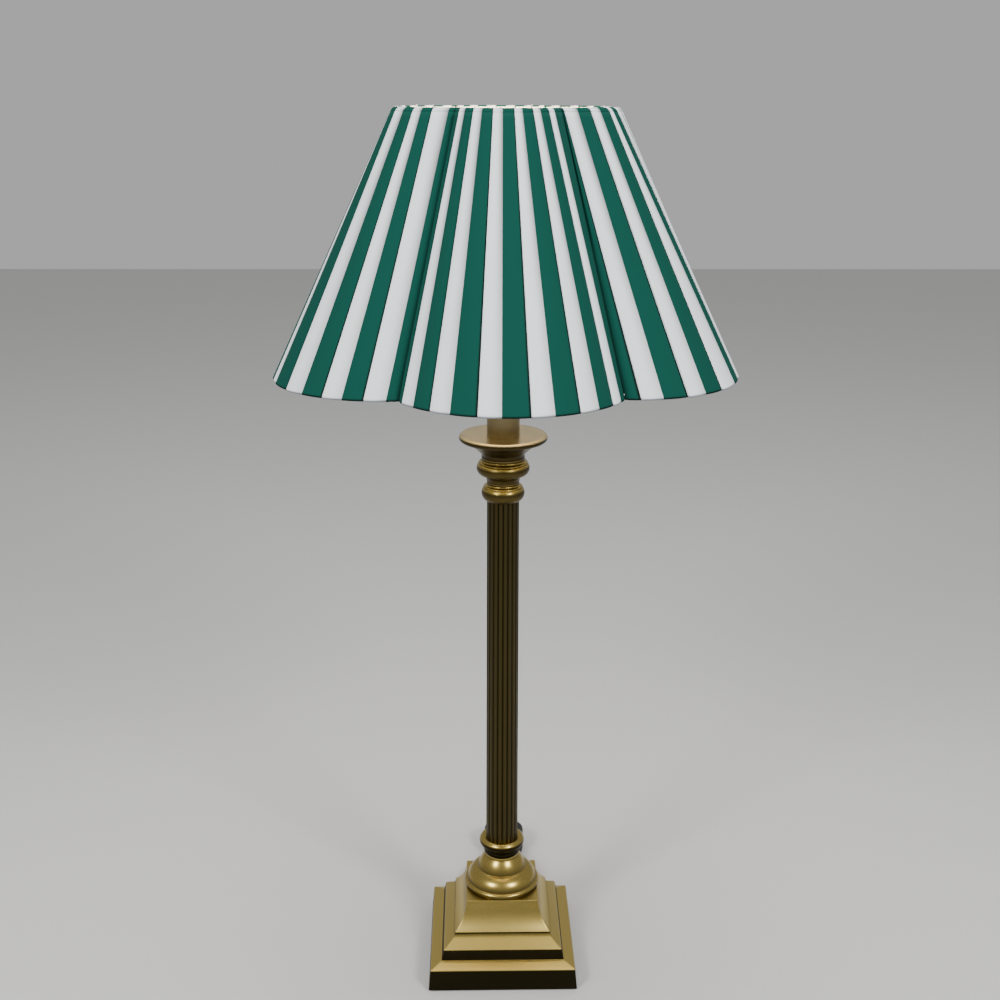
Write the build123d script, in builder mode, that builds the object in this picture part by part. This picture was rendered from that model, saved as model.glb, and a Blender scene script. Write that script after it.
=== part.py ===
"""Candlestick lamp: a turned brass stem on a stepped square base, with a striped fabric shade on a lobed frame.

All sizes are millimetres. The lamp stands on Z = 0 with its front towards -Y, and the flex leaves at the back.
"""

import math
import os

from build123d import *

os.makedirs("parts", exist_ok=True)

# ---------------------------------------------------------------- driving sizes: base
FELT_SIDE = 130.0
FELT_THICK = 1.5
FELT_CORNER = 6.0
BASE_TOP = 72.4
BASE_CEILING = 68.4
GLAND_X = -34.0
GLAND_Z = 11.5
GLAND_FLANGE_R = 6.8
GLAND_SHANK_R = 4.8
GLAND_HOLE_R = 5.0
GLAND_SEAT_Y = 66.8
GLAND_INNER_Y = 61.2
GLAND_TIP_Y = 90.0
SHELF_BOTTOM = 14.6
SHELF_THICK = 3.6
SHELF_Y = 49.0
GRIP_Y = 54.0
GRIP_SCREW_STEP = 7.0

# ---------------------------------------------------------------- driving sizes: stem
ROD_R = 5.0
ROD_BORE_R = 3.5
ROD_BOTTOM = 36.0
ROD_TOP = 597.0
ROD_HOLE_R = 5.25
ROD_THREAD_GAP = 0.05
NUT_ACROSS = 17.0
NUT_BOTTOM = 38.0
WASHER_BOTTOM = 46.0
WASHER_TOP = 48.0
FOOT_TOP = 105.0
NECK_TOP = 113.0
COLUMN_BOTTOM = 122.0
COLUMN_TOP = 453.0
COLUMN_BOTTOM_R = 14.85
COLUMN_TOP_R = 14.0
COLUMN_BORE_R = 11.6
SPIGOT_R = 11.4
REEDS = 20
REED_DEPTH = 0.75
LOWER_RING_TOP = 469.2
UPPER_RING_TOP = 491.2
PAN_TOP = 511.3
TUBE_R = 14.0
TUBE_BORE_R = 13.0
TUBE_SPIGOT_R = 12.9
TUBE_TOP = 590.0
CAP_TOP = 593.0

# ---------------------------------------------------------------- driving sizes: lampholder and bulb
HOLDER_R = 17.0
BARREL_BOTTOM = 612.0
BARREL_TOP = 650.0
BARREL_R = 13.2
BARREL_BORE_R = 11.35
SWITCH_Z = 603.0
SWITCH_R = 3.0
SWITCH_GAP = 0.08
SWITCH_LENGTH = 46.0
SWITCH_CENTRE_X = -2.5
CORE_TOP = 624.0
CORE_R = 11.2
PLUNGER_R = 1.9
PLUNGER_GAP = 0.08
PLUNGER_Y = 4.0
PLUNGER_BOTTOM = 613.0
BULB_BOTTOM = 631.0
BULB_CAP_R = 11.0
BULB_CAP_TOP = 656.0
BULB_NECK_R = 10.9
BULB_R = 30.0
BULB_CENTRE = 709.0
GLASS_THICK = 0.9
PIN_R = 1.0
PIN_REACH = 12.9
PIN_Z = 637.0
PUSH = 3.0
TURN_DEG = 18.0
PIN_GAP = 0.05
SLOT_GAP = 0.3
CLAMP_R = 20.0
CLAMP_BORE_R = 13.25
CLAMP_THICK = 4.0
CLAMP_LOWER = 618.0
CARRIER_SLACK = 0.1
CARRIER_THICK = 3.8
CARRIER_BORE_R = 13.3
CARRIER_PLATE_R = 24.0

# ---------------------------------------------------------------- driving sizes: shade
LOBES = 6
LOBE_TURN = 1.0
SHADE_BOTTOM = 573.5
SHADE_TOP = 779.0
SHADE_BOTTOM_R = 199.0
SHADE_TOP_R = 94.0
CREASE_BOTTOM = 0.84
CREASE_TOP = 0.84
TRIM_HEIGHT = 1.5
TRIM_REACH = 0.5
COVER_THICK = 1.2
RING_INSET = 1.6
RING_WIDE = 2.6
RING_HIGH = 3.0
SHADE_SLOPE = (SHADE_BOTTOM_R - SHADE_TOP_R) / (SHADE_TOP - SHADE_BOTTOM)
LINING_GAP = 0.25
LINING_INSET = RING_INSET + RING_WIDE + RING_HIGH * SHADE_SLOPE + LINING_GAP
LINING_THICK = 0.8
LINING_DROP = 8.0
LINING_TOP = SHADE_TOP - LINING_DROP
WIRE_R = 1.4
CARRIER_LEG_R = 36.0
CARRIER_RING_R = 1.5
SPIDER_DROP = 26.5
CARRIER_TOP = SHADE_TOP - SPIDER_DROP
SPIDER_THICK = 2.0
SPIDER_BORE_R = 33.0
SPIDER_R = 40.0

# ---------------------------------------------------------------- driving sizes: flex and plug
CORD_R = 3.0
HANK_X = 6.0
HANK_NEAR_Y = 93.0
HANK_FAR_Y = 167.0
FOLD_R = 18.0
WAIST_X = 3.3
LAYERS = 4
LAYER_STEP = 6.5
PLUG_FACE_Y = 80.0
PLUG_BACK_Y = 108.0
PLUG_TIP_Y = 122.0
PLUG_Z = 32.7
PLUG_WIDE = 35.0
PLUG_HIGH = 13.6
PLUG_PIN_R = 2.0
PLUG_PIN_STEP = 18.6
PLUG_PIN_LENGTH = 19.0
TIE_WIDE = 6.0
TIE_THICK = 1.2

# ---------------------------------------------------------------- profiles, as (across, height)
BASE_OUTSIDE = [
    ((68.3, FELT_THICK),),
    ((66.6, 20.2),),
    ((66.3, 21.05), (65.6, 21.5)),
    ((56.4, 24.5),),
    ((54.4, 33.9),),
    ((54.15, 34.42), (53.7, 34.86)),
    ((44.8, 41.7),),
    ((44.1, 46.1),),
    ((36.14, 58.11), (33.3, BASE_TOP)),
    ((0, BASE_TOP),),
]
BASE_INSIDE = [
    ((65.0, 1.0),),
    ((63.3, 18.2),),
    ((53.3, 21.5),),
    ((51.3, 31.6),),
    ((42.0, 38.8),),
    ((41.98, 43.73),),
    ((33.19, 56.88), (30.3, BASE_CEILING)),
    ((0, BASE_CEILING),),
]
FOOT_PROFILE = [
    ((16.4, FOOT_TOP),),
    ((18.2, 98.0), (21.6, 92.0)),
    ((21.8, 91.2),),
    ((28.6, 85.5), (32.0, 78.5)),
    ((34.1, 76.0), (33.0, 73.0)),
    ((33.0, BASE_TOP),),
    ((ROD_HOLE_R, BASE_TOP),),
]
NECK_PROFILE = [
    ((16.3, NECK_TOP),),
    ((16.9, 111.0), (16.2, 109.0)),
    ((16.9, 107.0), (16.4, FOOT_TOP)),
    ((ROD_HOLE_R, FOOT_TOP),),
]
COLLAR_PROFILE = [
    ((SPIGOT_R, COLUMN_BOTTOM + 4),),
    ((SPIGOT_R, COLUMN_BOTTOM),),
    ((17.2, COLUMN_BOTTOM),),
    ((20.0, 117.4), (16.6, NECK_TOP)),
    ((ROD_HOLE_R, NECK_TOP),),
]
LOWER_RING_PROFILE = [
    ((14.1, LOWER_RING_TOP),),
    ((14.5, 466.4), (16.0, 464.6)),
    ((16.4, 464.0),),
    ((18.6, 458.8), (15.0, COLUMN_TOP)),
    ((SPIGOT_R, COLUMN_TOP),),
    ((SPIGOT_R, COLUMN_TOP - 4),),
    ((ROD_HOLE_R, COLUMN_TOP - 4),),
]
UPPER_RING_PROFILE = [
    ((18.7, UPPER_RING_TOP),),
    ((19.0, 488.3), (20.3, 486.6)),
    ((20.3, 486.2),),
    ((22.8, 480.9), (18.6, 475.8)),
    ((14.9, 472.8), (14.1, LOWER_RING_TOP)),
    ((ROD_HOLE_R, LOWER_RING_TOP),),
]
PAN_PROFILE = [
    ((TUBE_SPIGOT_R, PAN_TOP + 3),),
    ((TUBE_SPIGOT_R, PAN_TOP),),
    ((36.4, PAN_TOP),),
    ((37.9, 509.2), (36.6, 506.4)),
    ((29.5, 503.4), (21.0, 497.0)),
    ((18.9, 494.5), (18.7, UPPER_RING_TOP)),
    ((ROD_HOLE_R, UPPER_RING_TOP),),
]
CAP_PROFILE = [
    ((14.3, CAP_TOP),),
    ((14.9, 591.5), (14.3, TUBE_TOP)),
    ((TUBE_SPIGOT_R, TUBE_TOP),),
    ((TUBE_SPIGOT_R, TUBE_TOP - 3),),
    ((ROD_HOLE_R, TUBE_TOP - 3),),
]
HOLDER_PROFILE = [
    ((15.0, CAP_TOP),),
    ((16.4, 593.6), (HOLDER_R, 595.0)),
    ((HOLDER_R, BARREL_BOTTOM),),
    ((8.0, BARREL_BOTTOM),),
    ((8.0, BARREL_BOTTOM - 2),),
    ((15.0, BARREL_BOTTOM - 2),),
    ((15.0, CAP_TOP + 3),),
    ((ROD_R + ROD_THREAD_GAP, CAP_TOP + 3),),
]


# ---------------------------------------------------------------- drawing helpers
def legs(start, route):
    """Draw a closed outline: a leg of one point is straight, a leg of two is an arc through the first."""
    here = start
    for leg in route:
        if len(leg) == 1:
            Line(here, leg[0])
        else:
            ThreePointArc(here, leg[0], leg[1])
        here = leg[-1]
    Line(here, start)


def turned(start, route):
    """Turn a profile of (radius, height) points about Z."""
    with BuildSketch(Plane.XZ) as half:
        with BuildLine():
            legs(start, route)
        make_face()
    revolve(half.sketch, axis=Axis.Z)


def pipe(outer, inner, low, high, mode=Mode.ADD):
    """A plain tube standing on Z."""
    with BuildSketch(Plane.XY.offset(low)) as ring:
        Circle(outer)
        Circle(inner, mode=Mode.SUBTRACT)
    extrude(ring.sketch, amount=high - low, mode=mode)


def disc(radius, low, high, centre=(0, 0), mode=Mode.ADD):
    """A plain round bar standing on Z."""
    with BuildSketch(Plane.XY.offset(low)) as end:
        with Locations(centre):
            Circle(radius)
    extrude(end.sketch, amount=high - low, mode=mode)


def bar(radius, start, end, mode=Mode.ADD):
    """A round bar from one point to another."""
    way = Vector(*end) - Vector(*start)
    with BuildSketch(Plane(origin=start, z_dir=way)) as end_face:
        Circle(radius)
    extrude(end_face.sketch, amount=way.length, mode=mode)


def square_moulding(start, route):
    """Run half an outline along X and along Y and keep what both share, as a mitred square."""
    with BuildPart() as block:
        for plane, mode in ((Plane.XZ, Mode.ADD), (Plane.YZ, Mode.INTERSECT)):
            with BuildSketch(plane):
                with BuildLine():
                    legs(start, route)
                make_face()
                mirror(about=Plane.YZ)
            extrude(amount=FELT_SIDE, both=True, mode=mode)
    return block.part


def shade_radius(height, inset=0.0):
    """Radii of the lobes and of the creases between them at one height of the shade."""
    share = (height - SHADE_BOTTOM) / (SHADE_TOP - SHADE_BOTTOM)
    lobe = SHADE_BOTTOM_R + (SHADE_TOP_R - SHADE_BOTTOM_R) * share
    crease_low = SHADE_BOTTOM_R * CREASE_BOTTOM
    crease = crease_low + (SHADE_TOP_R * CREASE_TOP - crease_low) * share
    return lobe - inset, crease - inset


def round_point(radius, degrees):
    """A point at a bearing, in plan."""
    return radius * math.cos(math.radians(degrees)), radius * math.sin(math.radians(degrees))


def lobed(height, inset=0.0, mode=Mode.ADD):
    """Draw the lobed outline of the shade at one height, moved in by inset."""
    lobe, crease = shade_radius(height, inset)
    step = 360 / LOBES
    with BuildLine() as ring:
        for i in range(LOBES):
            middle = 90 + LOBE_TURN + i * step
            ThreePointArc(
                round_point(crease, middle - step / 2),
                round_point(lobe, middle),
                round_point(crease, middle + step / 2),
            )
    make_face(ring.edges(), mode=mode)


def lobed_wall(low, high, outer, inner):
    """A lobed wall that follows the slope of the shade between two heights."""
    for inset, mode in ((outer, Mode.ADD), (inner, Mode.SUBTRACT)):
        with BuildSketch(Plane.XY.offset(low)) as foot:
            lobed(low, inset)
        with BuildSketch(Plane.XY.offset(high)) as head:
            lobed(high, inset)
        loft([foot.sketch, head.sketch], ruled=True, mode=mode)


def lobed_band(low, high, measured, outer, inner):
    """A lobed band with upright sides, between two heights."""
    with BuildSketch(Plane.XY.offset(low)) as band:
        lobed(measured, outer)
        lobed(measured, inner, mode=Mode.SUBTRACT)
    extrude(band.sketch, amount=high - low)


def bend(start, end):
    """Draw two equal arcs from start to end that leave and arrive along Y, and give their radius."""
    a = Vector(*start)
    b = Vector(*end)
    along = Vector(0, math.copysign(1, b.Y - a.Y), 0)
    side = (b - a) - along * (b - a).dot(along)
    length = abs(b.Y - a.Y)
    half_turn = math.atan(side.length / length)
    radius = length / (2 * math.sin(2 * half_turn))
    out = side.normalized()
    knee = along * (radius * math.sin(half_turn)) + out * (radius * (1 - math.cos(half_turn)))
    middle = (a + b) * 0.5
    ThreePointArc(a, a + knee, middle)
    ThreePointArc(middle, b - knee, b)
    return radius


def half_fold(x_from, y, z, outward):
    """Draw a half turn of the hank in plan as two quarter turns."""
    centre = Vector(HANK_X, y, z)
    side = Vector(math.copysign(FOLD_R, x_from - HANK_X), 0, 0)
    far = Vector(0, outward * FOLD_R, 0)
    half = math.sqrt(0.5)
    ThreePointArc(centre + side, centre + side * half + far * half, centre + far)
    ThreePointArc(centre + far, centre - side * half + far * half, centre - side)


# ---------------------------------------------------------------- base
with BuildPart() as felt_pad:
    with BuildSketch():
        RectangleRounded(FELT_SIDE, FELT_SIDE, FELT_CORNER)
    extrude(amount=FELT_THICK)
felt_pad.part.label = "felt_pad"
export_step(felt_pad.part, "parts/felt_pad.step")

with BuildPart() as square_base:
    add(square_moulding((0, FELT_THICK), BASE_OUTSIDE))
    add(square_moulding((0, 1.0), BASE_INSIDE), mode=Mode.SUBTRACT)
    disc(ROD_HOLE_R, BASE_CEILING - 1, BASE_TOP + 1, mode=Mode.SUBTRACT)
    with Locations((GLAND_X, (SHELF_Y + 65) / 2, SHELF_BOTTOM + SHELF_THICK / 2)):
        Box(22, 65 - SHELF_Y, SHELF_THICK)
    bar(6.6, (GLAND_X, 60, GLAND_Z), (GLAND_X, 63.2, GLAND_Z), mode=Mode.SUBTRACT)
    for side in (-GRIP_SCREW_STEP, GRIP_SCREW_STEP):
        disc(1.5, 10, 20, (GLAND_X + side, GRIP_Y), mode=Mode.SUBTRACT)
    bar(GLAND_HOLE_R, (GLAND_X, 60, GLAND_Z), (GLAND_X, 70, GLAND_Z), mode=Mode.SUBTRACT)
    bar(GLAND_FLANGE_R + 0.4, (GLAND_X, GLAND_SEAT_Y, GLAND_Z), (GLAND_X, 72, GLAND_Z), mode=Mode.SUBTRACT)
square_base.part.label = "square_base"
export_step(square_base.part, "parts/square_base.step")

with BuildPart() as base_weight:
    turned(
        (ROD_HOLE_R, BASE_CEILING),
        [
            ((28, BASE_CEILING),),
            ((28, 30),),
            ((49, 30),),
            ((49, 22),),
            ((20, 22),),
            ((20, WASHER_TOP),),
            ((ROD_HOLE_R, WASHER_TOP),),
        ],
    )
base_weight.part.label = "base_weight"
export_step(base_weight.part, "parts/base_weight.step")

with BuildPart() as base_washer:
    pipe(12, ROD_HOLE_R, WASHER_BOTTOM, WASHER_TOP)
base_washer.part.label = "base_washer"
export_step(base_washer.part, "parts/base_washer.step")

with BuildPart() as base_nut:
    with BuildSketch(Plane.XY.offset(NUT_BOTTOM)):
        RegularPolygon(radius=NUT_ACROSS / 2, side_count=6, major_radius=False)
        Circle(ROD_R + ROD_THREAD_GAP, mode=Mode.SUBTRACT)
    extrude(amount=WASHER_BOTTOM - NUT_BOTTOM)
base_nut.part.label = "base_nut"
export_step(base_nut.part, "parts/base_nut.step")

with BuildPart() as cord_grip:
    with Locations((GLAND_X, GRIP_Y, GLAND_Z - CORD_R - 1)):
        Box(20, 7, 1.9)
    for side in (-GRIP_SCREW_STEP, GRIP_SCREW_STEP):
        disc(1.5, 5, 12, (GLAND_X + side, GRIP_Y), mode=Mode.SUBTRACT)
cord_grip.part.label = "cord_grip"
export_step(cord_grip.part, "parts/cord_grip.step")

with BuildPart() as grip_screws:
    for side in (-GRIP_SCREW_STEP, GRIP_SCREW_STEP):
        disc(1.4, 6, 17.8, (GLAND_X + side, GRIP_Y))
        disc(2.6, 4.9, 6.5, (GLAND_X + side, GRIP_Y))
grip_screws.part.label = "grip_screws"
export_step(grip_screws.part, "parts/grip_screws.step")

# ---------------------------------------------------------------- stem
with BuildPart() as threaded_rod:
    pipe(ROD_R, ROD_BORE_R, ROD_BOTTOM, ROD_TOP)
threaded_rod.part.label = "threaded_rod"
export_step(threaded_rod.part, "parts/threaded_rod.step")

with BuildPart() as round_foot:
    turned((ROD_HOLE_R, FOOT_TOP), FOOT_PROFILE)
round_foot.part.label = "round_foot"
export_step(round_foot.part, "parts/round_foot.step")

with BuildPart() as neck_spacer:
    turned((ROD_HOLE_R, NECK_TOP), NECK_PROFILE)
neck_spacer.part.label = "neck_spacer"
export_step(neck_spacer.part, "parts/neck_spacer.step")

with BuildPart() as lower_collar:
    turned((ROD_HOLE_R, COLUMN_BOTTOM + 4), COLLAR_PROFILE)
lower_collar.part.label = "lower_collar"
export_step(lower_collar.part, "parts/lower_collar.step")

with BuildPart() as reeded_column:
    for height, radius in ((COLUMN_BOTTOM, COLUMN_BOTTOM_R), (COLUMN_TOP, COLUMN_TOP_R)):
        with BuildSketch(Plane.XY.offset(height)):
            with BuildLine():
                for i in range(REEDS):
                    middle = 360 / REEDS * (i + 0.5)
                    ThreePointArc(
                        round_point(radius - REED_DEPTH, middle - 180 / REEDS),
                        round_point(radius, middle),
                        round_point(radius - REED_DEPTH, middle + 180 / REEDS),
                    )
            make_face()
    loft(ruled=True)
    disc(COLUMN_BORE_R, COLUMN_BOTTOM - 1, COLUMN_TOP + 1, mode=Mode.SUBTRACT)
reeded_column.part.label = "reeded_column"
export_step(reeded_column.part, "parts/reeded_column.step")

with BuildPart() as capital_lower_ring:
    turned((ROD_HOLE_R, LOWER_RING_TOP), LOWER_RING_PROFILE)
capital_lower_ring.part.label = "capital_lower_ring"
export_step(capital_lower_ring.part, "parts/capital_lower_ring.step")

with BuildPart() as capital_upper_ring:
    turned((ROD_HOLE_R, UPPER_RING_TOP), UPPER_RING_PROFILE)
capital_upper_ring.part.label = "capital_upper_ring"
export_step(capital_upper_ring.part, "parts/capital_upper_ring.step")

with BuildPart() as drip_pan:
    turned((ROD_HOLE_R, PAN_TOP + 3), PAN_PROFILE)
drip_pan.part.label = "drip_pan"
export_step(drip_pan.part, "parts/drip_pan.step")

with BuildPart() as candle_tube:
    pipe(TUBE_R, TUBE_BORE_R, PAN_TOP, TUBE_TOP)
candle_tube.part.label = "candle_tube"
export_step(candle_tube.part, "parts/candle_tube.step")

with BuildPart() as candle_cap:
    turned((ROD_HOLE_R, CAP_TOP), CAP_PROFILE)
candle_cap.part.label = "candle_cap"
export_step(candle_cap.part, "parts/candle_cap.step")

# ---------------------------------------------------------------- lampholder
with BuildPart() as holder_cap:
    turned((ROD_R + ROD_THREAD_GAP, CAP_TOP), HOLDER_PROFILE)
    bar(SWITCH_R + SWITCH_GAP, (-20, 0, SWITCH_Z), (20, 0, SWITCH_Z), mode=Mode.SUBTRACT)
holder_cap.part.label = "holder_cap"
export_step(holder_cap.part, "parts/holder_cap.step")

with BuildPart() as switch_bar:
    with BuildSketch(Plane(origin=(SWITCH_CENTRE_X - SWITCH_LENGTH / 2, 0, SWITCH_Z), z_dir=(1, 0, 0))):
        Circle(SWITCH_R)
    extrude(amount=SWITCH_LENGTH)
    fillet(switch_bar.edges(), 1.2)
switch_bar.part.label = "switch_bar"
export_step(switch_bar.part, "parts/switch_bar.step")

with BuildPart() as holder_core:
    disc(CORE_R, BARREL_BOTTOM, CORE_TOP)
    for y in (-PLUNGER_Y, PLUNGER_Y):
        disc(PLUNGER_R + PLUNGER_GAP, BARREL_BOTTOM - 1, CORE_TOP + 1, (0, y), mode=Mode.SUBTRACT)
holder_core.part.label = "holder_core"
export_step(holder_core.part, "parts/holder_core.step")

with BuildPart() as contact_plungers:
    for y in (-PLUNGER_Y, PLUNGER_Y):
        disc(PLUNGER_R, PLUNGER_BOTTOM, BULB_BOTTOM, (0, y))
contact_plungers.part.label = "contact_plungers"
export_step(contact_plungers.part, "parts/contact_plungers.step")

PIN_HALF_DEG = math.degrees(math.asin((PIN_R + 0.15) / BARREL_BORE_R))
with BuildPart() as holder_barrel:
    pipe(BARREL_R, BARREL_BORE_R, BARREL_BOTTOM, BARREL_TOP)
    for side in (0, 180):
        with BuildSketch(Plane.XZ.rotated((0, 0, side - PIN_HALF_DEG))):
            with BuildLine():
                Polyline(
                    (10, PIN_Z - PIN_R - PUSH - SLOT_GAP),
                    (15, PIN_Z - PIN_R - PUSH - SLOT_GAP),
                    (15, PIN_Z + PIN_R + PIN_GAP),
                    (10, PIN_Z + PIN_R + PIN_GAP),
                    close=True,
                )
            make_face()
        revolve(axis=Axis.Z, revolution_arc=TURN_DEG + 2 * PIN_HALF_DEG, mode=Mode.SUBTRACT)
        with BuildSketch(Plane.XY.offset(PIN_Z).rotated((0, 0, side + TURN_DEG))):
            with Locations((12.5, 0)):
                Rectangle(5, 2 * PIN_R + 0.6)
        extrude(amount=BARREL_TOP - PIN_Z + 1, mode=Mode.SUBTRACT)
holder_barrel.part.label = "holder_barrel"
export_step(holder_barrel.part, "parts/holder_barrel.step")

with BuildPart() as shade_clamp_rings:
    for low in (CLAMP_LOWER, CLAMP_LOWER + CLAMP_THICK + CARRIER_THICK + 2 * CARRIER_SLACK):
        pipe(CLAMP_R, CLAMP_BORE_R, low, low + CLAMP_THICK)
shade_clamp_rings.part.label = "shade_clamp_rings"
export_step(shade_clamp_rings.part, "parts/shade_clamp_rings.step")

with BuildPart() as bulb_cap:
    disc(BULB_CAP_R, BULB_BOTTOM, BULB_CAP_TOP)
    bar(PIN_R, (-PIN_REACH, 0, PIN_Z), (PIN_REACH, 0, PIN_Z))
bulb_cap.part.label = "bulb_cap"
export_step(bulb_cap.part, "parts/bulb_cap.step")

BULB_SIDE = math.cos(math.radians(40))
BULB_DROP = math.sin(math.radians(40))
with BuildPart() as bulb_glass:
    inner_r = BULB_R - GLASS_THICK
    turned(
        (BULB_NECK_R, BULB_CAP_TOP),
        [
            ((BULB_NECK_R + 0.4, BULB_CAP_TOP + 14.0),),
            ((BULB_NECK_R + 1.1, BULB_CAP_TOP + 18.9), (BULB_NECK_R + 2.8, BULB_CAP_TOP + 22.6)),
            ((BULB_R * BULB_SIDE, BULB_CENTRE - BULB_R * BULB_DROP),),
            ((BULB_R, BULB_CENTRE), (0, BULB_CENTRE + BULB_R)),
            ((0, BULB_CENTRE + inner_r),),
            ((inner_r, BULB_CENTRE), (inner_r * BULB_SIDE, BULB_CENTRE - inner_r * BULB_DROP)),
            ((BULB_NECK_R + 2.05, BULB_CAP_TOP + 23.2),),
            ((BULB_NECK_R + 0.25, BULB_CAP_TOP + 19.3), (BULB_NECK_R - 0.5, BULB_CAP_TOP + 14.2)),
            ((BULB_NECK_R - GLASS_THICK, BULB_CAP_TOP),),
        ],
    )
bulb_glass.part.label = "bulb_glass"
export_step(bulb_glass.part, "parts/bulb_glass.step")

# ---------------------------------------------------------------- shade carrier and shade
CARRIER_LOW = CLAMP_LOWER + CLAMP_THICK + CARRIER_SLACK
with BuildPart() as carrier_plate:
    pipe(CARRIER_PLATE_R, CARRIER_BORE_R, CARRIER_LOW, CARRIER_LOW + CARRIER_THICK)
carrier_plate.part.label = "carrier_plate"
export_step(carrier_plate.part, "parts/carrier_plate.step")

with BuildPart() as shade_carrier:
    for bearing in (30, 150, 270):
        with BuildLine() as leg:
            FilletPolyline(
                (*round_point(CARRIER_PLATE_R - 1.5, bearing), CARRIER_LOW + CARRIER_THICK / 2),
                (*round_point(CARRIER_LEG_R, bearing), CARRIER_LOW + CARRIER_THICK / 2 + 16),
                (*round_point(CARRIER_LEG_R, bearing), CARRIER_TOP - CARRIER_RING_R),
                radius=9,
            )
        with BuildSketch(Plane(origin=leg.line @ 0, z_dir=leg.line % 0)):
            Circle(WIRE_R)
        sweep(path=leg.wires()[0])
    with Locations((0, 0, CARRIER_TOP - CARRIER_RING_R)):
        Torus(CARRIER_LEG_R, CARRIER_RING_R)
    pipe(CARRIER_PLATE_R, CARRIER_BORE_R, CARRIER_LOW, CARRIER_LOW + CARRIER_THICK, Mode.SUBTRACT)
shade_carrier.part.label = "shade_carrier"
export_step(shade_carrier.part, "parts/shade_carrier.step")

TOP_RING_HIGH = SHADE_TOP - TRIM_HEIGHT
TOP_RING_LOW = TOP_RING_HIGH - RING_HIGH
BOTTOM_RING_LOW = SHADE_BOTTOM + TRIM_HEIGHT
BOTTOM_RING_HIGH = BOTTOM_RING_LOW + RING_HIGH
ARM_END_R = shade_radius(TOP_RING_HIGH, RING_INSET + RING_WIDE)[0] - 0.75

with BuildPart() as shade_spider:
    pipe(SPIDER_R, SPIDER_BORE_R, CARRIER_TOP, CARRIER_TOP + SPIDER_THICK)
    for bearing in (91, 211, 331):
        bar(
            WIRE_R,
            (*round_point(SPIDER_R - 2, bearing), CARRIER_TOP + SPIDER_THICK),
            (*round_point(ARM_END_R, bearing), TOP_RING_LOW + 1.4),
        )
shade_spider.part.label = "shade_spider"
export_step(shade_spider.part, "parts/shade_spider.step")

with BuildPart() as shade_top_ring:
    lobed_band(TOP_RING_LOW, TOP_RING_HIGH, TOP_RING_HIGH, RING_INSET, RING_INSET + RING_WIDE)
shade_top_ring.part.label = "shade_top_ring"
export_step(shade_top_ring.part, "parts/shade_top_ring.step")

with BuildPart() as shade_bottom_ring:
    lobed_band(BOTTOM_RING_LOW, BOTTOM_RING_HIGH, BOTTOM_RING_HIGH, RING_INSET, RING_INSET + RING_WIDE)
shade_bottom_ring.part.label = "shade_bottom_ring"
export_step(shade_bottom_ring.part, "parts/shade_bottom_ring.step")

with BuildPart() as shade_struts:
    for i in range(LOBES):
        bearing = 90 + LOBE_TURN + (i + 0.5) * 360 / LOBES
        for height in (BOTTOM_RING_HIGH, TOP_RING_LOW):
            crease = shade_radius(height, RING_INSET + WIRE_R)[1]
            with BuildSketch(Plane.XY.offset(height)):
                with Locations(round_point(crease, bearing)):
                    Circle(WIRE_R)
        loft(ruled=True)
shade_struts.part.label = "shade_struts"
export_step(shade_struts.part, "parts/shade_struts.step")

with BuildPart() as shade_cover:
    lobed_wall(BOTTOM_RING_LOW, TOP_RING_HIGH, 0, COVER_THICK)
shade_cover.part.label = "shade_cover"
export_step(shade_cover.part, "parts/shade_cover.step")

with BuildPart() as shade_lining:
    lobed_wall(BOTTOM_RING_LOW, LINING_TOP, LINING_INSET, LINING_INSET + LINING_THICK)
shade_lining.part.label = "shade_lining"
export_step(shade_lining.part, "parts/shade_lining.step")

with BuildPart() as shade_bottom_trim:
    lobed_band(SHADE_BOTTOM, BOTTOM_RING_LOW, SHADE_BOTTOM, -TRIM_REACH, LINING_INSET + LINING_THICK)
shade_bottom_trim.part.label = "shade_bottom_trim"
export_step(shade_bottom_trim.part, "parts/shade_bottom_trim.step")

with BuildPart() as shade_top_trim:
    lobed_band(TOP_RING_HIGH, SHADE_TOP, SHADE_TOP, -TRIM_REACH, RING_INSET + RING_WIDE)
shade_top_trim.part.label = "shade_top_trim"
export_step(shade_top_trim.part, "parts/shade_top_trim.step")

# ---------------------------------------------------------------- flex, gland and plug
with BuildPart() as inner_flex:
    with BuildLine() as inner_way:
        FilletPolyline(
            (GLAND_X, GLAND_INNER_Y, GLAND_Z),
            (GLAND_X, -GLAND_X * 0.8, GLAND_Z),
            (0, 0, GLAND_Z),
            (0, 0, ROD_TOP + 1.5),
            radius=[34, 23.5],
        )
    with BuildSketch(Plane(origin=inner_way.line @ 0, z_dir=inner_way.line % 0)):
        Circle(CORD_R)
    sweep(path=inner_way.wires()[0])
inner_flex.part.label = "inner_flex"
export_step(inner_flex.part, "parts/inner_flex.step")

with BuildPart() as cord_gland:
    with BuildSketch(Plane(origin=(GLAND_X, 0, GLAND_Z), x_dir=(1, 0, 0), z_dir=(0, 0, 1))):
        with BuildLine():
            Polyline(
                (0, GLAND_INNER_Y),
                (6.2, GLAND_INNER_Y),
                (6.2, GLAND_INNER_Y + 1.8),
                (GLAND_SHANK_R, GLAND_INNER_Y + 1.8),
                (GLAND_SHANK_R, GLAND_SEAT_Y),
                (GLAND_FLANGE_R, GLAND_SEAT_Y),
                (GLAND_FLANGE_R, GLAND_SEAT_Y + 2.2),
                (5.6, GLAND_SEAT_Y + 2.2),
                (4.1, GLAND_TIP_Y),
                (0, GLAND_TIP_Y),
                close=True,
            )
        make_face()
    revolve(axis=Axis(origin=(GLAND_X, 0, GLAND_Z), direction=(0, 1, 0)))
cord_gland.part.label = "cord_gland"
export_step(cord_gland.part, "parts/cord_gland.step")

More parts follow.
